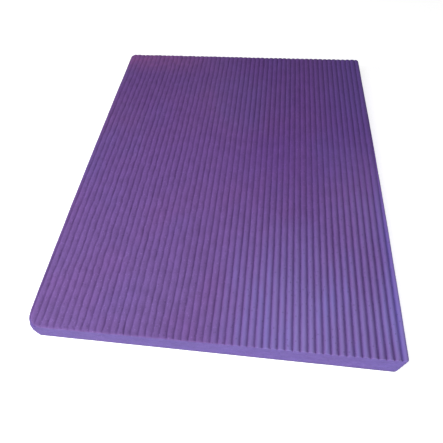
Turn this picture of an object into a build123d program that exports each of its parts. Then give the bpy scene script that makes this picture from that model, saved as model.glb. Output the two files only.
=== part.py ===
from build123d import *
import os

# A balance pad for physiotherapy: a slab of closed-cell foam, built up from sheets of one
# thickness that are bonded flat on each other with films of adhesive, then cut to outline.
# Millimetres. +Z is up, +Y runs the long way, and the origin is the middle of the underside.

# Driving dimensions of the pad
pad_width = 400.0  # across the top
pad_length = 500.0  # halfway across
pad_height = 40.0
sheet_count = 4
film_thickness = 0.25

# Corners of the outline, in order: front left, front right, back right, back left
radii_low = [4.0, 6.0, 6.0, 7.0]  # at the underside
radii_high = [18.0, 3.0, 6.0, 7.0]  # at the top
corner_wear = [3.5, 1.0, 1.0, 1.0]  # 1 changes evenly with height, more keeps the change near the top

# The cut edges aren't quite upright or square
side_spread = 3.0  # how much further out each long side is at the underside than at the top
front_cut_low = 3.8  # how much further forward the right end of the front is, at the underside
front_cut_high = 0.7  # the same at the top

# Ribs of the top sheet: round crests side by side, with narrow round grooves between them
rib_pitch = 7.69
rib_height = 2.6
groove_width = 1.0
groove_round = 0.4  # from the groove's floor up to where it meets the ribs' arcs
rib_slant = 0.85  # degrees that the ribs turn off the long edges, towards +X at the far end
groove_shift = 1.9  # how far the pattern's middle lies to the right of the pad's middle
groove_count = 52

# Sizes and levels that follow from them
back = (pad_length + front_cut_low / 2) / 2  # distances from the origin
front_middle = pad_length - back
sheet_thickness = (pad_height - (sheet_count - 1) * film_thickness) / sheet_count
layer_step = sheet_thickness + film_thickness
top_level = (sheet_count - 1) * layer_step
groove_floor = pad_height - rib_height
groove_shoulder = groove_floor + groove_round
rib_count = groove_count + 3
first_groove = groove_shift - rib_pitch * rib_count / 2
overrun = 10.0  # the ribbed profile is longer than the pad by this at each end, then trimmed

os.makedirs("parts", exist_ok=True)


def finish(piece, name):
    """Labels a finished piece and writes it to its own file."""
    piece.part.label = name
    export_step(piece.part, f"parts/{name}.step")


def outline_corners(level):
    """Corner points of the pad's outline at a height above the floor."""
    share = level / pad_height
    side = pad_width / 2 + side_spread * (1 - share)
    cut = front_cut_low + share * (front_cut_high - front_cut_low)
    left_front = (-side, -front_middle + cut / 2)
    right_front = (side, -front_middle - cut / 2)
    return [left_front, right_front, (side, back), (-side, back)]


def outline_radii(level):
    """Radii of those corners."""
    share = level / pad_height
    return [low + share**wear * (high - low) for low, high, wear in zip(radii_low, radii_high, corner_wear)]


# Ribbed top sheet: its section across the ribs is run along them, then trimmed to the outline
rib_plane = Plane.XZ.rotated((0, 0, -rib_slant))
with BuildPart() as ribbed_top_sheet:
    with BuildSketch(rib_plane):
        with BuildLine():
            for rib in range(rib_count):
                groove = first_groove + rib * rib_pitch
                left = groove + groove_width / 2
                right = groove + rib_pitch - groove_width / 2
                ThreePointArc(
                    (groove - groove_width / 2, groove_shoulder),
                    (groove, groove_floor),
                    (left, groove_shoulder),
                )
                ThreePointArc(
                    (left, groove_shoulder),
                    (groove + rib_pitch / 2, pad_height),
                    (right, groove_shoulder),
                )
            section_left = first_groove - groove_width / 2
            section_right = section_left + rib_count * rib_pitch
            Polyline(
                (section_right, groove_shoulder),
                (section_right, top_level),
                (section_left, top_level),
                (section_left, groove_shoulder),
            )
        make_face()
    extrude(amount=pad_length / 2 + overrun, both=True)
    for level in (top_level, pad_height):
        with BuildSketch(Plane.XY.offset(level)):
            with BuildLine():
                FilletPolyline(*outline_corners(level), radius=outline_radii(level), close=True)
            make_face()
    loft(ruled=True, mode=Mode.INTERSECT)
finish(ribbed_top_sheet, "ribbed_top_sheet")

# Plain sheets under it, from the floor up
for layer, name in enumerate(("base_sheet", "lower_core_sheet", "upper_core_sheet")):
    with BuildPart() as plain_sheet:
        for level in (layer * layer_step, layer * layer_step + sheet_thickness):
            with BuildSketch(Plane.XY.offset(level)):
                with BuildLine():
                    FilletPolyline(*outline_corners(level), radius=outline_radii(level), close=True)
                make_face()
        loft(ruled=True)
    finish(plain_sheet, name)

# Films of adhesive between the sheets, flush with the cut edge
for layer, name in enumerate(("lower_bond_film", "middle_bond_film", "upper_bond_film")):
    with BuildPart() as bond_film:
        for level in (layer * layer_step + sheet_thickness, (layer + 1) * layer_step):
            with BuildSketch(Plane.XY.offset(level)):
                with BuildLine():
                    FilletPolyline(*outline_corners(level), radius=outline_radii(level), close=True)
                make_face()
        loft(ruled=True)
    finish(bond_film, name)
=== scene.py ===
import math

import bmesh
import bpy
import numpy as np
from mathutils import Matrix, Vector


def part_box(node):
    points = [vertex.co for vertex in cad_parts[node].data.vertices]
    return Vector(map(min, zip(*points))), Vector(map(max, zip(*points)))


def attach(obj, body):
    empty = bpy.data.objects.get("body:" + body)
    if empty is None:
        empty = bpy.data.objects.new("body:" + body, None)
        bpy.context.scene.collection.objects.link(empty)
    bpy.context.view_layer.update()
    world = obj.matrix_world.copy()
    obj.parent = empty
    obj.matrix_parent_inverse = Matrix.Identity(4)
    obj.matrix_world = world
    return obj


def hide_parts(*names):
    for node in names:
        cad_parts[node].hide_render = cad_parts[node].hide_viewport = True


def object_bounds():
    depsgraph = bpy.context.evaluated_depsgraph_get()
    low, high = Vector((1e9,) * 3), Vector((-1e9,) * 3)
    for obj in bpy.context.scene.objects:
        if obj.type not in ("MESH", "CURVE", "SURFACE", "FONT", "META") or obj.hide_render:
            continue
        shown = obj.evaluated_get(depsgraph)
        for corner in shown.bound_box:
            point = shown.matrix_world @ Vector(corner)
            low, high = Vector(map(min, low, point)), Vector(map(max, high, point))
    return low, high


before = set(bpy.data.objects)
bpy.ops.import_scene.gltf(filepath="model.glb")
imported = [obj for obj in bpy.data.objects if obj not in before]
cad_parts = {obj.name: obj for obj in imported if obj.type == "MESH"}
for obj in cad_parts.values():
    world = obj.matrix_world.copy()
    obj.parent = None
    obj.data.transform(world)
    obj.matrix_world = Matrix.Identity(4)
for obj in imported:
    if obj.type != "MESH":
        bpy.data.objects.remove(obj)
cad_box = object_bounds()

# A balance pad: a block of closed-cell foam bonded from four sheets, with a ribbed top.
# Metres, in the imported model's frame: +Y runs along the ribs, +Z is up, and the floor is z = 0.

MM = 0.001

# ---------------------------------------------------------------- sizes of the pad

LOW, HIGH = (Vector(corner) for corner in cad_box)
HEIGHT = HIGH.z - LOW.z
CENTRE_X = (LOW.x + HIGH.x) / 2
SIDE_SPREAD = 3.0 * MM  # how much further out each long side is at the underside than at the top
SIDE_BOW = 1.6 * MM  # how far each long side bows out half way along it
END_TUCK = 0.5 * MM  # how far the sides draw in at their ends
SIDE_LOW = (HIGH.x - LOW.x) / 2
SIDE_HIGH = SIDE_LOW - SIDE_SPREAD
WIDTH = 2 * SIDE_HIGH

# The front edge isn't square to the sides: how far its right end is forward of its left end
FRONT_CUT_LOW = 3.8 * MM  # at the underside
FRONT_CUT_HIGH = 0.7 * MM  # at the top
BACK = HIGH.y
FRONT = -BACK + FRONT_CUT_LOW / 2
MIDDLE_Y = (FRONT + BACK) / 2

# Corner radii: front left, front right, back right, back left
RADII_LOW = (4.0 * MM, 6.0 * MM, 6.0 * MM, 7.0 * MM)
RADII_HIGH = (18.0 * MM, 3.0 * MM, 6.0 * MM, 7.0 * MM)
CORNER_WEAR = (3.5, 1.0, 1.0, 1.0)  # 1 changes evenly with height, more keeps the change near the top

RIB_PITCH = 7.69 * MM
RIB_HEIGHT = 2.6 * MM
GROOVE_HALF = 0.5 * MM
GROOVE_ROUND = 0.4 * MM
RIB_SLANT = math.radians(0.85)
GROOVE_SHIFT = 1.9 * MM
RIB_COUNT = 55

# Where each rib's section has its points, as shares of the pitch from one groove to the next
RIB_PHASES = (0.0, 0.045, 0.09, 0.17, 0.29, 0.43, 0.57, 0.71, 0.84, 0.94)
# Rows of points across the ribs: how far in from each end the first ones lie, and how many between
END_ROWS = (0, 0.15, 0.35, 0.65, 1.1, 1.7, 2.6, 3.9, 5.6, 8.0, 11.0)  # millimetres
MIDDLE_ROWS = 130

# How uneven the ribbed top is: most at the left, where the foam is softer and more worn
BEAD_HEIGHT = 0.30 * MM  # of the small beads along the crests
CREST_UNEVENNESS = 0.10 * MM
GROOVE_UNEVENNESS = 0.132 * MM
LEFT_SINK = 0.12 * MM  # how much lower the crests lie where they are uneven
SWELL_HEIGHT = 0.25 * MM  # of broad swells over the whole top
DENT_DEPTH = 0.10 * MM  # of the dents where it was stood on
RIM_ROUND = 0.9 * MM
RIM_ROUND_WORN = 1.5 * MM  # added at the left of the front edge
RIM_UNEVENNESS = 0.3 * MM
WORN_END = 4.5 * MM  # how far in from the rim the ribs are worn lower
CUT_WAVE = 0.16 * MM  # how far slow waves and blade marks stand out from the cut sides
CUT_MARK = 0.03 * MM

OUTLINE_STEP = 2.4 * MM  # between points round the plain sheets
CORNER_POINTS = 13
CUT_SHARES = (0.06, 0.2, 0.45, 0.7, 0.9, 0.975, 1.0)  # levels down the top sheet's cut side
RING_SHARES = (0.985, 0.94, 0.8, 0.55, 0.28)  # rings that a flat face is made of
FOOT_TUCK = 0.06 * MM  # how far the top sheet's lowest edge draws in, so that the joint shows
MERGE = 0.002 * MM  # points of the ribbed surface nearer than this become one
SHARP_RIM = (0.08 * MM, 2)  # how far a sheet's rim is rounded, and in how many steps
SOFT_RIM = (1.1 * MM, 5)

# ---------------------------------------------------------------- colours

PURPLE = (0.198, 0.107, 0.362)
# The top turns to this deeper colour towards the far end; its paler near end is painted sheen
DEEP_PURPLE = (0.198, 0.084, 0.362)
PINKER = (0.212, 0.095, 0.350)
BLUER = (0.182, 0.107, 0.395)
CUT = (0.168, 0.104, 0.388)
CUT_PINKER = (0.182, 0.104, 0.385)
CUT_BLUER = (0.164, 0.109, 0.410)
BOND = (0.14, 0.087, 0.33)
PINK_CORNER = (0.36, 0.12, 0.40)
FAR_BLUE = (0.150, 0.088, 0.370)
# Painted highlight colour of the right rim
RIM_HIGHLIGHT_BLUE = (0.18, 0.14, 0.56)
# Painted sheen colours of the near right: over the crests and in streaks
PAINTED_SHEEN_BLUE = (0.280, 0.206, 0.570)
PAINTED_SHEEN_STREAK_BLUE = (0.232, 0.195, 0.610)
FAR_SHADE = (0.89, 0.84, 0.96)  # multiplies the colour below it
WHITE = (1, 1, 1, 1)
FLOOR_WHITE = (0.93, 0.93, 0.93, 1)

# What the colour is multiplied by at the left and at the right: painted light, lighter towards the right to
# offset the lamps' stronger light from the left
TINT_SPAN = (-0.15, 0.2)
TOP_TINTS = ((0.96, 0.97, 0.96), (1.05, 1.05, 1.05))
CUT_TINTS = ((0.91, 0.93, 0.91), (1.07, 1.17, 1.12))

# Patches of the top: where each starts and where it is full along X and along Y, and its strength
FAR_SHADE_PATCH = ((-0.03, 0.06), (-0.09, 0.0), 1.0)
FAR_RIGHT_PATCH = ((0.11, 0.19), (0.0, 0.12), 0.7)
PINK_CORNER_PATCH = ((-0.02, -0.17), (0.195, 0.24), 1.0)
# Where the painted highlight along the right rim lies
RIM_HIGHLIGHT_PATCH = ((0.187, 0.196), (0.06, -0.12), 0.55)
# Where the painted sheen lies: towards the near right and along the right
NEAR_RIGHT_PATCH = ((-0.015, 0.08), (-0.08, -0.2), 1.0)
RIGHT_PATCH = ((0.11, 0.17), (0.05, -0.06), 0.5)

FOOT_SHADE_HEIGHT = 6.0 * MM  # how high the painted shade along the foot reaches
FLOOR_GLOW = 0.70

# ---------------------------------------------------------------- lights and camera

# Lights: name, place, size across, and power in watts
LIGHTS = (
    ("overhead_soft", (-0.25, -0.45, 0.75), 0.3, 2.1),
    ("left_soft", (-0.90, -0.55, 0.62), 0.3, 4.9),
    ("right_soft", (0.30, -0.70, 0.70), 0.3, 1.1),
)
WORLD_LEVEL = 0.11
LIGHT_LEVEL = 1.3

# Camera: turned and raised as a person standing at the pad's near end looks down on it
VIEW_AZIMUTH = math.radians(9.125)
VIEW_ELEVATION = math.radians(56.367)
VIEW_ROLL = math.radians(-4.020)
VIEW_DISTANCE = 1.2721 * WIDTH
VIEW_TARGET = Vector((CENTRE_X - 0.01340 * WIDTH, MIDDLE_Y - 0.18492 * WIDTH, 0))
LENS_SHARE = 0.8338
SENSOR = 36.0
FLOOR_HALF = 4.0


# ---------------------------------------------------------------- the outline

def lattice_noise(x, y, step_x, step_y, seed):
    """Smooth noise between -1 and 1 over the plane, one random value every step."""
    cells = 128
    table = np.random.default_rng(seed).uniform(-1, 1, (cells, cells))
    gx, gy = np.asarray(x) / step_x + 4 * cells, np.asarray(y) / step_y + 4 * cells
    ix, iy = np.floor(gx).astype(int), np.floor(gy).astype(int)
    fx, fy = gx - ix, gy - iy
    fx, fy = fx * fx * (3 - 2 * fx), fy * fy * (3 - 2 * fy)
    a, b = table[ix % cells, iy % cells], table[(ix + 1) % cells, iy % cells]
    c, d = table[ix % cells, (iy + 1) % cells], table[(ix + 1) % cells, (iy + 1) % cells]
    return (a * (1 - fx) + b * fx) * (1 - fy) + (c * (1 - fx) + d * fx) * fy


def smooth(low, high, value):
    """0 up to low, 1 from high on, and an even curve between them; low may also be the larger."""
    t = np.clip((np.asarray(value, float) - low) / (high - low), 0, 1)
    return t * t * (3 - 2 * t)


def level_sizes(z):
    """Half the width, and the corner radii, of the outline at a height."""
    share = np.asarray(z, float) / HEIGHT
    radii = [low + np.clip(share, 0, 1)**wear * (high - low)
             for low, high, wear in zip(RADII_LOW, RADII_HIGH, CORNER_WEAR)]
    return SIDE_LOW + share * (SIDE_HIGH - SIDE_LOW), radii


def depth_inside(x, y, z):
    """How deep points lie inside the outline at their height, and the nearest point on it."""
    half_x, radii = level_sizes(z)
    px, py = x - CENTRE_X, y - MIDDLE_Y
    right, back = px > 0, py > 0
    radius = np.where(back, np.where(right, radii[2], radii[3]), np.where(right, radii[1], radii[0]))
    core_x, core_y = half_x - radius, (BACK - FRONT) / 2 - radius
    qx, qy = np.abs(px) - core_x, np.abs(py) - core_y
    in_corner = (qx > 0) & (qy > 0)
    reach = np.hypot(np.maximum(qx, 0), np.maximum(qy, 0))
    depth = np.where(in_corner, radius - reach, radius - np.maximum(qx, qy))
    scale = radius / np.maximum(reach, 1e-9)
    near_x = np.where(in_corner, core_x + qx * scale, np.where(qx >= qy, core_x + radius, np.abs(px)))
    near_y = np.where(in_corner, core_y + qy * scale, np.where(qx >= qy, np.abs(py), core_y + radius))
    near_x = CENTRE_X + np.where(right, near_x, -near_x)
    near_y = MIDDLE_Y + np.where(back, near_y, -near_y)
    return depth, near_x, near_y


def outward(x, y, z):
    """The outline's outward direction beside a point."""
    step = 0.02 * MM
    dx = depth_inside(x + step, y, z)[0] - depth_inside(x - step, y, z)[0]
    dy = depth_inside(x, y + step, z)[0] - depth_inside(x, y - step, z)[0]
    size = np.maximum(np.hypot(dx, dy), 1e-12)
    return -dx / size, -dy / size


def lean(points):
    """Gives the true outline: a front cut out of square and leaning, and sides that bow out a little."""
    x, y, z = points[:, 0], points[:, 1], points[:, 2]
    cut = FRONT_CUT_LOW + (z / HEIGHT) * (FRONT_CUT_HIGH - FRONT_CUT_LOW)
    near = np.clip((BACK - y) / (BACK - FRONT), 0, 1)
    points[:, 1] = y - cut * (x - CENTRE_X) / (2 * level_sizes(z)[0]) * near
    bow = SIDE_BOW * (1 - ((y - MIDDLE_Y) / (BACK - MIDDLE_Y))**2) - END_TUCK
    points[:, 0] = x + bow * (x - CENTRE_X) / SIDE_HIGH
    return points


def cut_face_relief(x, y, z):
    """How far the cut edge stands out at a point of the outline: slow waves and faint blade marks."""
    around = np.arctan2(y, x) * 0.23 + (x + y) * 0.5
    waves = 0.5 + 0.5 * lattice_noise(around, z, 28 * MM, 22 * MM, 11)
    marks = 0.5 + 0.5 * lattice_noise(around, z, 2.3 * MM, 16 * MM, 12)
    return CUT_WAVE * waves + CUT_MARK * marks


def new_piece(name, points, faces, node):
    """A mesh object that stands for one CAD sheet of foam."""
    mesh = bpy.data.meshes.new(name)
    mesh.from_pydata(points.tolist(), [], faces)
    mesh.validate()
    for polygon in mesh.polygons:
        polygon.use_smooth = True
    piece = bpy.data.objects.new(name, mesh)
    bpy.context.scene.collection.objects.link(piece)
    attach(piece, "root")
    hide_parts(node)
    return piece


# ---------------------------------------------------------------- the ribbed top sheet

def rib_section(phase):
    """Height of the ribs' section below the crests, from 0 to -RIB_HEIGHT, at a share of the pitch."""
    from_groove = np.minimum(phase, 1 - phase) * RIB_PITCH
    groove_arc = (GROOVE_HALF**2 + GROOVE_ROUND**2) / (2 * GROOVE_ROUND)
    inside = np.clip(from_groove, 0, GROOVE_HALF)
    groove = -RIB_HEIGHT + groove_arc - np.sqrt(groove_arc**2 - inside**2)
    half_chord = RIB_PITCH / 2 - GROOVE_HALF
    rise = RIB_HEIGHT - GROOVE_ROUND
    rib_arc = (half_chord**2 + rise**2) / (2 * rise)
    from_crest = np.clip(RIB_PITCH / 2 - from_groove, 0, half_chord)
    rib = -rib_arc + np.sqrt(rib_arc**2 - from_crest**2)
    return np.where(from_groove < GROOVE_HALF, groove, rib)


def row_places():
    """Where the rows of points cross the pad, close together near both ends."""
    from_end = np.array(END_ROWS) * MM
    first, last = FRONT + from_end[-1], BACK - from_end[-1]
    middle = np.linspace(first, last, MIDDLE_ROWS + 2)[1:-1]
    return np.concatenate([FRONT + from_end, middle, (BACK - from_end)[::-1]])


def looseness(x):
    """How uneven the ribs are: fully so at the left, and little at the right."""
    return 1.0 - 0.7 * smooth(-0.10, 0.06, x)


def groove_wander(across, y, loose):
    """How far the grooves stray sideways."""
    slow = 0.30 * lattice_noise(across, y, 14 * MM, 26 * MM, 1)
    quick = 0.34 * lattice_noise(across, y, 7 * MM, 8 * MM, 2)
    ragged = 0.55 * loose * lattice_noise(across, y, 5 * MM, 6.5 * MM, 8)
    return (slow + quick + ragged) * MM * loose


def embossing(x, y):
    """How deep the ribs stand at each place, as a share of RIB_HEIGHT: deepest at the near right."""
    far_left = 0.05 * smooth(0.02, 0.15, y)
    near_right = 0.81 * smooth(-0.07, 0.19, x) * smooth(0.03, -0.17, y)
    far_right = 0.22 * smooth(-0.05, 0.06, x) * smooth(0.0, 0.1, y)
    return 0.39 - far_left + near_right + far_right


class RibbedTop:
    """The ribbed surface as columns and rows of points, trimmed to the outline."""

    def __init__(self):
        rows = row_places()
        rib = np.repeat(np.arange(RIB_COUNT), len(RIB_PHASES))
        phase = np.tile(RIB_PHASES, RIB_COUNT)
        across = GROOVE_SHIFT + (rib + phase - RIB_COUNT / 2) * RIB_PITCH
        self.across, y = np.meshgrid(across, rows, indexing="ij")
        phase, rib = np.meshgrid(phase, rows, indexing="ij")[0], np.meshgrid(rib, rows, indexing="ij")[0]
        x = (self.across + y * math.sin(RIB_SLANT)) / math.cos(RIB_SLANT)
        self.loose = looseness(x)
        self.from_side = SIDE_HIGH - np.abs(x - CENTRE_X)
        x = x + groove_wander(self.across, y, self.loose) * smooth(1.5 * MM, 10 * MM, self.from_side)
        depth, near_x, near_y = depth_inside(x, y, HEIGHT)
        self.outside = depth <= 0
        self.depth = np.maximum(depth, 0)
        # A point brought in to the outline takes the ribs' section where it lands
        landed_across = near_x * math.cos(RIB_SLANT) - near_y * math.sin(RIB_SLANT)
        landed = (landed_across - GROOVE_SHIFT) / RIB_PITCH + RIB_COUNT / 2
        moved = self.outside & (np.hypot(near_x - x, near_y - y) > 0.01 * MM)
        self.rib = np.where(moved, np.floor(landed), rib)
        self.phase = np.where(moved, landed % 1, phase)
        self.x = np.where(self.outside, near_x, x)
        self.y = np.where(self.outside, near_y, y)
        self.from_groove = np.minimum(self.phase, 1 - self.phase)
        self.in_groove = smooth(0.16, 0.0, self.from_groove)
        # The ribs' ends are softer and rounder on the left of the front edge, and crisp on the right
        self.front_left = smooth(0.09, -0.15, self.x) * smooth(-0.2, FRONT, self.y)

    def ribs(self):
        """Height of the ribs and grooves below the crests."""
        # The crests sit right of a rib's middle on the left side of the pad, and left of it on the right
        section = rib_section(self.phase ** (1.22 - 0.44 * smooth(-0.12, 0.10, self.x)))
        end_wear = (0.15 + 0.5 * self.front_left) * smooth(WORN_END, 0, self.depth)
        return section * (embossing(self.x, self.y) * (1 - end_wear))

    def unevenness(self):
        """How far beads, crests and grooves lie off their even levels."""
        y, number = self.y, self.rib * 1.0
        bead_noise = lattice_noise(self.across, y + self.across * 0.6, 5 * MM, 6.5 * MM, 9)
        beads = BEAD_HEIGHT * self.loose * smooth(0, 8 * MM, self.from_side) * bead_noise
        crests = CREST_UNEVENNESS * (lattice_noise(number, y, 1, 60 * MM, 3) - 1)
        grooves = GROOVE_UNEVENNESS * lattice_noise(number + (self.phase > 0.5), y, 1, 22 * MM, 4)
        return beads + crests + grooves * self.in_groove

    def swells(self):
        """Gentle swells of the whole top, with a few shallow dents where it was stood on."""
        broad = SWELL_HEIGHT * (lattice_noise(self.x, self.y, 70 * MM, 90 * MM, 5) - 1)
        return broad + DENT_DEPTH * lattice_noise(self.x, self.y, 17 * MM, 22 * MM, 6)

    def rim_drop(self):
        """How far the surface falls as it rounds over into the cut sides."""
        uneven = RIM_UNEVENNESS * lattice_noise(self.x, self.y, 24 * MM, 24 * MM, 7)
        round_size = RIM_ROUND + RIM_ROUND_WORN * self.front_left + uneven
        gap = np.clip(1 - self.depth / round_size, 0, 1)
        return round_size * (1 - np.sqrt(1 - gap**2)) * np.where(self.in_groove > 0.5, 0.35, 0.8)

    def points(self, top_level):
        z = top_level - LEFT_SINK * self.loose + self.ribs() + self.unevenness()
        z = z + self.swells() - self.rim_drop()
        return np.stack([self.x.ravel(), self.y.ravel(), z.ravel()], 1)

    def quads(self):
        """Four point numbers for each face that isn't wholly outside the outline."""
        out = self.outside
        index = np.arange(out.size).reshape(out.shape)
        keep = ~(out[:-1, :-1] & out[1:, :-1] & out[1:, 1:] & out[:-1, 1:])
        return np.stack([index[:-1, :-1], index[1:, :-1], index[1:, 1:], index[:-1, 1:]], -1)[keep]

    def marks(self):
        """Values that the foam's material reads at each point."""
        groove = self.in_groove * (1 - smooth(1.5 * MM, 0, self.depth) * 0.5)
        below_crest = smooth(0.40, 0.04, self.from_groove)
        return {"groove": groove.ravel(), "below_crest": below_crest.ravel()}


def make_ribbed_top(node):
    """The top sheet: its ribbed surface, closed with a cut edge and a flat lower face."""
    low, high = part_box(node)
    surface = RibbedTop()
    places, quads, marks = surface.points(high.z), surface.quads(), surface.marks()
    bm = bmesh.new()
    layers = {name: bm.verts.layers.float.new(name) for name in marks}
    made = {}
    for i in np.unique(quads):
        made[i] = bm.verts.new(places[i])
        for name, layer in layers.items():
            made[i][layer] = marks[name][i]
    for quad in quads:
        bm.faces.new([made[i] for i in quad])
    bmesh.ops.remove_doubles(bm, verts=bm.verts, dist=MERGE)
    close_sides(bm, low.z)
    bm.verts.index_update()
    points = np.array([v.co for v in bm.verts])
    kept_marks = {name: [v[layer] for v in bm.verts] for name, layer in layers.items()}
    faces = [[v.index for v in f.verts] for f in bm.faces]
    surfaces = [f.material_index for f in bm.faces]
    bm.free()
    piece = new_piece("foam_ribbed_top", lean(points), faces, node)
    piece.data.polygons.foreach_set("material_index", surfaces)
    for name, values in kept_marks.items():
        attribute = piece.data.attributes.new(name, "FLOAT", "POINT")
        attribute.data.foreach_set("value", np.array(values, np.float32))
    return piece


def close_sides(bm, floor_level):
    """Adds the cut edge round the ribbed surface, down to the sheet's flat lower face, and that face."""
    border = {}
    for edge in bm.edges:
        if len(edge.link_faces) == 1:
            loop = edge.link_loops[0]
            border[loop.vert] = loop.link_loop_next.vert
    start = min(border, key=lambda v: (v.co.y, v.co.x))
    ring, vertex = [start], border[start]
    while vertex is not start:
        ring.append(vertex)
        vertex = border[vertex]
    top = np.array([v.co for v in ring])
    upper = ring
    for share in CUT_SHARES:
        z = top[:, 2] + (floor_level - top[:, 2]) * share
        edge_x, edge_y = depth_inside(top[:, 0], top[:, 1], z)[1:]
        out_x, out_y = outward(edge_x, edge_y, z)
        relief = cut_face_relief(edge_x, edge_y, z) * min(1, share * 10)
        if share == 1.0:
            relief = relief - FOOT_TUCK
        level = [bm.verts.new(place) for place in
                 zip(edge_x + out_x * relief, edge_y + out_y * relief, z)]
        for i in range(len(ring)):
            j = (i + 1) % len(ring)
            bm.faces.new((upper[j], upper[i], level[i], level[j])).material_index = 1
        upper = level
    middle = bm.verts.new((CENTRE_X, MIDDLE_Y, floor_level))
    for i in range(len(ring)):
        bm.faces.new((upper[(i + 1) % len(ring)], upper[i], middle)).material_index = 1


# ---------------------------------------------------------------- the plain sheets under it

def outline_ring(z):
    """Points round the outline at a height, in order, and as many of them at every height."""
    half_x, radii = level_sizes(z)
    half_y = (BACK - FRONT) / 2
    ring = []
    for radius, (sign_x, sign_y, angle) in zip(radii, ((-1, -1, 180), (1, -1, 270), (1, 1, 0), (-1, 1, 90))):
        centre = Vector((CENTRE_X + sign_x * (half_x - radius), MIDDLE_Y + sign_y * (half_y - radius)))
        for part in np.linspace(0, 90, CORNER_POINTS):
            turn = math.radians(angle + part)
            ring.append(centre + Vector((math.cos(turn), math.sin(turn))) * radius)
    full = []
    for i, point in enumerate(ring):
        after = ring[(i + 1) % len(ring)]
        corner, place = divmod(i, CORNER_POINTS)
        pieces = 1
        if place == CORNER_POINTS - 1:
            pieces = round(2 * (half_y if corner % 2 else SIDE_LOW) / OUTLINE_STEP)
        full.extend(tuple(point.lerp(after, k / pieces)) for k in range(pieces))
    return np.array(full)


def edge_levels(low_z, high_z, lower_edge, upper_edge):
    """Heights up a sheet's cut edge, each with how far the edge is rounded in there."""
    levels = []
    for z_end, inward, (radius, steps) in ((low_z, 1, lower_edge), (high_z, -1, upper_edge)):
        levels.append([(z_end + inward * radius * (1 - math.cos(t)), radius * (1 - math.sin(t)))
                       for t in np.linspace(0, math.pi / 2, steps + 1)])
    between = np.linspace(levels[0][-1][0], levels[1][-1][0], 7)[1:-1]
    return levels[0] + [(z, 0.0) for z in between] + levels[1][::-1]


def close_flat(points, faces, start, size, z, downward):
    """Closes a ring of points with a flat face made of narrowing rings, and returns all the points."""
    middle = np.array([CENTRE_X, MIDDLE_Y, z])
    edge = points[start:start + size]
    outer = list(range(start, start + size))
    for share in RING_SHARES:
        first = len(points)
        points = np.concatenate([points, middle + (edge - middle) * [share, share, 1]])
        for i in range(size):
            j = (i + 1) % size
            quad = (outer[j], outer[i], first + i, first + j)
            faces.append(quad if downward else quad[::-1])
        outer = list(range(first, first + size))
    centre = len(points)
    points = np.concatenate([points, [middle]])
    for i in range(size):
        tri = (outer[(i + 1) % size], outer[i], centre)
        faces.append(tri if downward else tri[::-1])
    return points


def make_plain_sheet(name, node, lower_edge, upper_edge):
    """A flat sheet with a lively cut edge. The edge arguments are (rounding, steps) of its rims."""
    low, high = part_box(node)
    heights = edge_levels(low.z, high.z, lower_edge, upper_edge)
    rings = []
    for z, inset in heights:
        ring = outline_ring(z)
        level = np.full(len(ring), z)
        out_x, out_y = outward(ring[:, 0], ring[:, 1], z)
        relief = cut_face_relief(ring[:, 0], ring[:, 1], level) - inset
        rings.append(np.stack([ring[:, 0] + out_x * relief, ring[:, 1] + out_y * relief, level], 1))
    size = len(rings[0])
    faces = []
    for row in range(len(heights) - 1):
        for i in range(size):
            j = (i + 1) % size
            faces.append((row * size + i, row * size + j, (row + 1) * size + j, (row + 1) * size + i))
    points = np.concatenate(rings)
    points = close_flat(points, faces, 0, size, low.z, True)
    points = close_flat(points, faces, (len(heights) - 1) * size, size, high.z, False)
    return new_piece(name, lean(points), faces, node)


# ---------------------------------------------------------------- materials

def scaled(colour, shares):
    """A colour with each part multiplied by its own share."""
    return tuple(part * share for part, share in zip(colour, shares))


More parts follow.
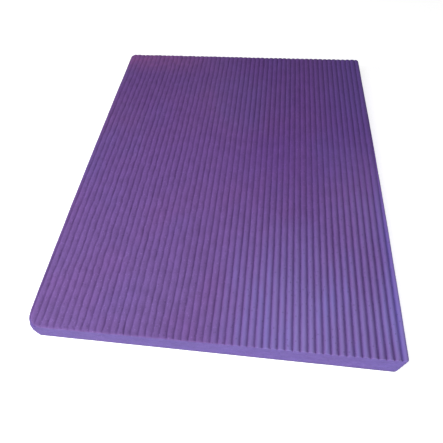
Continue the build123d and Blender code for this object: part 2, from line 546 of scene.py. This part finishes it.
class Nodes:
    """Short calls for building one material's nodes."""

    def __init__(self, name):
        self.material = bpy.data.materials.new(name)
        self.material.use_nodes = True
        self.tree = self.material.node_tree
        self.tree.nodes.clear()
        self.output = self.add("ShaderNodeOutputMaterial")
        self.shader = self.add("ShaderNodeBsdfPrincipled")
        self.link(self.shader.outputs[0], self.output.inputs[0])

    def add(self, kind, **settings):
        node = self.tree.nodes.new(kind)
        for key, value in settings.items():
            setattr(node, key, value)
        return node

    def link(self, a, b):
        self.tree.links.new(a, b)

    def place(self, stretch=(1, 1, 1)):
        """The surface's own place in metres, stretched along each axis."""
        where = self.add("ShaderNodeTexCoord")
        scale = self.add("ShaderNodeMapping")
        scale.inputs["Scale"].default_value = stretch
        self.link(where.outputs["Object"], scale.inputs["Vector"])
        return scale.outputs["Vector"]

    def axes(self):
        """The surface's own place as three outputs, X, Y and Z."""
        split = self.add("ShaderNodeSeparateXYZ")
        self.link(self.place(), split.inputs[0])
        return split.outputs

    def mark(self, name):
        """A value that the mesh carries at its points."""
        return self.add("ShaderNodeAttribute", attribute_name=name).outputs["Fac"]

    def noise(self, size, detail=2.0, rough=0.5, stretch=(1, 1, 1)):
        """Cloudy noise whose features are about a size across, from 0 to 1."""
        node = self.add("ShaderNodeTexNoise")
        node.inputs["Scale"].default_value = 1 / size
        node.inputs["Detail"].default_value = detail
        node.inputs["Roughness"].default_value = rough
        self.link(self.place(stretch), node.inputs["Vector"])
        return node.outputs["Fac"]

    def cells(self, size):
        """Distance from the middles of packed foam cells that are about a size across."""
        node = self.add("ShaderNodeTexVoronoi")
        node.inputs["Scale"].default_value = 1 / size
        self.link(self.place(), node.inputs["Vector"])
        return node.outputs["Distance"]

    def span(self, value, low, high, out_low=0.0, out_high=1.0):
        """Carries low..high over to out_low..out_high and stops at both ends."""
        node = self.add("ShaderNodeMapRange")
        for key, number in (("From Min", low), ("From Max", high), ("To Min", out_low), ("To Max", out_high)):
            node.inputs[key].default_value = number
        self.link(value, node.inputs["Value"])
        return node.outputs["Result"]

    def patch(self, axes, where):
        """A patch of the pad: where it starts and is full along X and Y, and its strength."""
        x_span, y_span, strength = where
        return self.times(self.span(axes["X"], *x_span, 0.0, strength), self.span(axes["Y"], *y_span))

    def math(self, operation, a, b):
        node = self.add("ShaderNodeMath", operation=operation)
        for value, entry in ((a, node.inputs[0]), (b, node.inputs[1])):
            if isinstance(value, (int, float)):
                entry.default_value = value
            else:
                self.link(value, entry)
        return node.outputs[0]

    def times(self, a, b):
        return self.math("MULTIPLY", a, b)

    def mix(self, share, a, b, how="MIX"):
        """Mixes two colours, each a colour or a node's output."""
        node = self.add("ShaderNodeMix", data_type="RGBA", blend_type=how)
        for value, entry in ((share, node.inputs[0]), (a, node.inputs[6]), (b, node.inputs[7])):
            if isinstance(value, tuple):
                entry.default_value = (*value, 1)
            elif isinstance(value, (int, float)):
                entry.default_value = value
            else:
                self.link(value, entry)
        return node.outputs[2]

    def bump(self, height, distance, strength=1.0, below=None):
        node = self.add("ShaderNodeBump")
        node.inputs["Distance"].default_value = distance
        node.inputs["Strength"].default_value = strength
        self.link(height, node.inputs["Height"])
        if below is not None:
            self.link(below, node.inputs["Normal"])
        return node.outputs["Normal"]


def clouded(n, axes, colour, deep, pink, blue):
    """The foam's colour in broad clouds, with a finer mottle that lightens and darkens it."""
    patches = n.noise(75 * MM, 2.0, 0.5, (1.0, 0.6, 1.0))
    # Painted sheen: paler at the near end, deeper towards the far end (the cut foam's two colours are the
    # same)
    result = n.mix(n.span(axes["Y"], -0.2, 0.1), colour, deep)
    result = n.mix(n.span(n.noise(110 * MM, 3.0, 0.55), 0.42, 0.72), result, pink)
    result = n.mix(n.span(patches, 0.5, 0.75, 0.0, 0.6), result, blue)
    mottle = n.span(n.noise(12 * MM, 3.0, 0.6), 0.3, 0.7, 0.90, 1.08)
    grain = n.span(n.noise(1.2 * MM, 2.0, 0.6), 0.3, 0.7, 0.92, 1.07)
    tone = n.times(mottle, grain)
    tone_colour = n.add("ShaderNodeCombineColor")
    for entry in tone_colour.inputs:
        n.link(tone, entry)
    return n.mix(1.0, result, tone_colour.outputs[0], "MULTIPLY")


def with_top_marks(n, axes, colour, result):
    """What only the ribbed top has: painted shade over its far right part, painted shade with some dirt in
    the grooves, a pinker far left corner, a painted highlight on the right rim, and painted sheen towards the
    near right.
    """
    result = n.mix(n.patch(axes, FAR_SHADE_PATCH), result, FAR_SHADE, "MULTIPLY")
    result = n.mix(n.patch(axes, FAR_RIGHT_PATCH), result, FAR_BLUE)
    # Painted shade with some dirt: darker in the grooves, more so towards the right and in patches along them
    groove_shade_and_dirt = n.times(n.mark("groove"), n.span(axes["X"], -0.15, 0.1, 0.5, 1.0))
    groove_shade_and_dirt = n.times(groove_shade_and_dirt, n.span(n.noise(6 * MM, 2.0, 0.5), 0.35, 0.65, 0.1, 0.6))
    result = n.mix(groove_shade_and_dirt, result, scaled(colour, (0.42, 0.26, 0.50)))
    # The far left corner is pinker and lighter, and the right rim has a painted highlight, lighter and bluer
    pink_corner_share = n.span(n.noise(12 * MM, 3.0, 0.6), 0.35, 0.6, 0.35, 0.75)
    result = n.mix(n.times(n.patch(axes, PINK_CORNER_PATCH), pink_corner_share), result, PINK_CORNER)
    # Painted highlight along the right rim
    result = n.mix(n.patch(axes, RIM_HIGHLIGHT_PATCH), result, RIM_HIGHLIGHT_BLUE)
    # Towards the near right the skin has a painted sheen, paler and bluer, most of all on the crests
    crest = n.span(n.mark("below_crest"), 0.0, 1.0, 1.0, 0.3)
    near_right = n.times(n.patch(axes, NEAR_RIGHT_PATCH), crest)
    right = n.times(n.patch(axes, RIGHT_PATCH), crest)
    painted_sheen = n.times(n.math("MAXIMUM", near_right, right), n.span(n.noise(90 * MM), 0.3, 0.7, 0.55, 1.0))
    result = n.mix(painted_sheen, result, PAINTED_SHEEN_BLUE)
    # Painted sheen in streaks along the ribs at the near right
    sheen_streaks = n.span(n.noise(16 * MM, 2.0, 0.6, (1.0, 0.2, 1.0)), 0.48, 0.66, 0.0, 0.5)
    return n.mix(n.times(near_right, sheen_streaks), result, PAINTED_SHEEN_STREAK_BLUE)


def foam_material(name, colours, pore, sheen, tints, top=False):
    """Matt closed-cell foam: clouded colour, scuffs, painted shade along the foot, light and dark specks, and
    pores.
    """
    n = Nodes(name)
    axes = n.axes()
    colour = colours[0]
    result = clouded(n, axes, *colours)
    scuff = n.times(n.span(n.noise(6 * MM, 4.0, 0.7, (1.0, 0.35, 1.0)), 0.6, 0.74),
                    n.span(n.noise(50 * MM), 0.45, 0.65))
    pale = tuple(min(1.0, part * 1.45 + 0.03) for part in colour)
    result = n.mix(n.times(scuff, 0.45), result, pale)
    if top:
        result = with_top_marks(n, axes, colour, result)
    # Painted light: lighter towards the right, offsetting the lamps' stronger light from the left
    result = n.mix(1.0, result, n.mix(n.span(axes["X"], *TINT_SPAN), *tints), "MULTIPLY")
    # Painted shade: darker towards the foot, in place of a contact shadow along the floor
    foot_shade = n.span(axes["Z"], 0.0, FOOT_SHADE_HEIGHT, 0.8, 0.0)
    result = n.mix(foot_shade, result, scaled(colour, (0.35, 0.35, 0.35)))
    light_specks = n.span(n.cells(4.0 * MM), 0.20, 0.10)
    dark_specks = n.span(n.cells(5.2 * MM), 0.20, 0.12, 0.0, 0.35)
    result = n.mix(n.times(light_specks, 0.55), result, pale)
    result = n.mix(dark_specks, result, scaled(colour, (0.4, 0.4, 0.4)))
    n.link(result, n.shader.inputs["Base Color"])
    rough = n.math("ADD", n.noise(4 * MM, 3.0, 0.6), n.times(scuff, 0.3))
    n.link(n.span(rough, 0.3, 0.9, 0.66, 0.88), n.shader.inputs["Roughness"])
    n.shader.inputs["Specular IOR Level"].default_value = 0.12 + 2 * sheen
    n.shader.inputs["Sheen Weight"].default_value = sheen
    n.shader.inputs["Sheen Roughness"].default_value = 0.5
    coarse = n.bump(n.noise(3.5 * MM, 3.0, 0.6), 0.5 * MM, 0.8)
    pits = n.span(n.cells(pore), 0.10, 0.42)
    n.link(n.bump(pits, 0.12 * MM, 0.8, coarse), n.shader.inputs["Normal"])
    return n.material


def adhesive_material(name, colour):
    """The bond line: slightly darker and smoother than the foam, and a little uneven."""
    n = Nodes(name)
    shade = n.mix(n.span(n.noise(10 * MM, 3.0, 0.6), 0.3, 0.7), colour, scaled(colour, (0.75, 0.75, 0.75)))
    n.link(shade, n.shader.inputs["Base Color"])
    n.link(n.span(n.noise(3 * MM), 0.3, 0.7, 0.42, 0.6), n.shader.inputs["Roughness"])
    n.link(n.bump(n.noise(2 * MM), 0.1 * MM), n.shader.inputs["Normal"])
    return n.material


def floor_material():
    """A plain pale floor that also gives off a little light of its own."""
    n = Nodes("pale_floor")
    n.link(n.span(n.noise(0.4), 0.0, 1.0, 0.55, 0.65), n.shader.inputs["Roughness"])
    n.shader.inputs["Base Color"].default_value = FLOOR_WHITE
    n.shader.inputs["Specular IOR Level"].default_value = 0.0
    n.shader.inputs["Emission Color"].default_value = WHITE
    n.shader.inputs["Emission Strength"].default_value = FLOOR_GLOW
    return n.material


# ---------------------------------------------------------------- the stage

def make_camera():
    az, el = VIEW_AZIMUTH, VIEW_ELEVATION
    back = Vector((math.sin(az) * math.cos(el), -math.cos(az) * math.cos(el), math.sin(el)))
    side = Vector((0, 0, 1)).cross(back).normalized()
    up = back.cross(side)
    roll_side = side * math.cos(VIEW_ROLL) + up * math.sin(VIEW_ROLL)
    roll_up = up * math.cos(VIEW_ROLL) - side * math.sin(VIEW_ROLL)
    turn = Matrix((roll_side, roll_up, back)).transposed().to_4x4()
    data = bpy.data.cameras.new("camera")
    data.sensor_width = SENSOR
    data.lens = LENS_SHARE * SENSOR
    data.clip_start = 0.01
    camera = bpy.data.objects.new("camera", data)
    camera.matrix_world = Matrix.Translation(VIEW_TARGET + back * VIEW_DISTANCE) @ turn
    bpy.context.scene.collection.objects.link(camera)
    bpy.context.scene.camera = camera


def make_area_light(name, place, size, power):
    """A round lamp that faces the middle of the pad's underside."""
    data = bpy.data.lights.new(name, "AREA")
    data.shape = "DISK"
    data.size = size
    data.energy = power
    light = bpy.data.objects.new(name, data)
    light.location = place
    light.rotation_euler = (-Vector(place)).to_track_quat("-Z", "Y").to_euler()
    bpy.context.scene.collection.objects.link(light)


def make_floor():
    mesh = bpy.data.meshes.new("floor")
    corners = [(-FLOOR_HALF, -FLOOR_HALF, 0), (FLOOR_HALF, -FLOOR_HALF, 0),
               (FLOOR_HALF, FLOOR_HALF, 0), (-FLOOR_HALF, FLOOR_HALF, 0)]
    mesh.from_pydata(corners, [], [(0, 1, 2, 3)])
    floor = bpy.data.objects.new("floor", mesh)
    bpy.context.scene.collection.objects.link(floor)
    mesh.materials.append(floor_material())
    floor.location.z = -0.02 * MM


def make_stage():
    make_floor()
    for name, place, size, power in LIGHTS:
        make_area_light(name, place, size, power * LIGHT_LEVEL)
    world = bpy.data.worlds.new("world")
    world.use_nodes = True
    background = world.node_tree.nodes["Background"]
    background.inputs["Color"].default_value = WHITE
    background.inputs["Strength"].default_value = WORLD_LEVEL * LIGHT_LEVEL
    bpy.context.scene.world = world
    bpy.context.scene.view_settings.view_transform = "Standard"


# ---------------------------------------------------------------- putting it together

top = make_ribbed_top("ribbed_top_sheet")
upper = make_plain_sheet("foam_upper_core", "upper_core_sheet", SHARP_RIM, SHARP_RIM)
lower = make_plain_sheet("foam_lower_core", "lower_core_sheet", SHARP_RIM, SHARP_RIM)
base = make_plain_sheet("foam_base", "base_sheet", SOFT_RIM, SHARP_RIM)

top_colours = (PURPLE, DEEP_PURPLE, PINKER, BLUER)
cut_colours = (CUT, CUT, CUT_PINKER, CUT_BLUER)
ribbed_foam = foam_material("ribbed_foam_skin", top_colours, 0.9 * MM, 0.06, TOP_TINTS, top=True)
core_foam = foam_material("cut_foam", cut_colours, 0.7 * MM, 0.0, CUT_TINTS)
base_foam = foam_material("base_foam_skin", cut_colours, 0.8 * MM, 0.0, CUT_TINTS)
top.data.materials.append(ribbed_foam)
for piece, material in ((top, core_foam), (upper, core_foam), (lower, core_foam), (base, base_foam)):
    piece.data.materials.append(material)

adhesive = adhesive_material("bond_line", BOND)
for film in ("upper_bond_film", "middle_bond_film", "lower_bond_film"):
    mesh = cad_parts[film].data
    mesh.materials.clear()
    mesh.materials.append(adhesive)

make_stage()
make_camera()
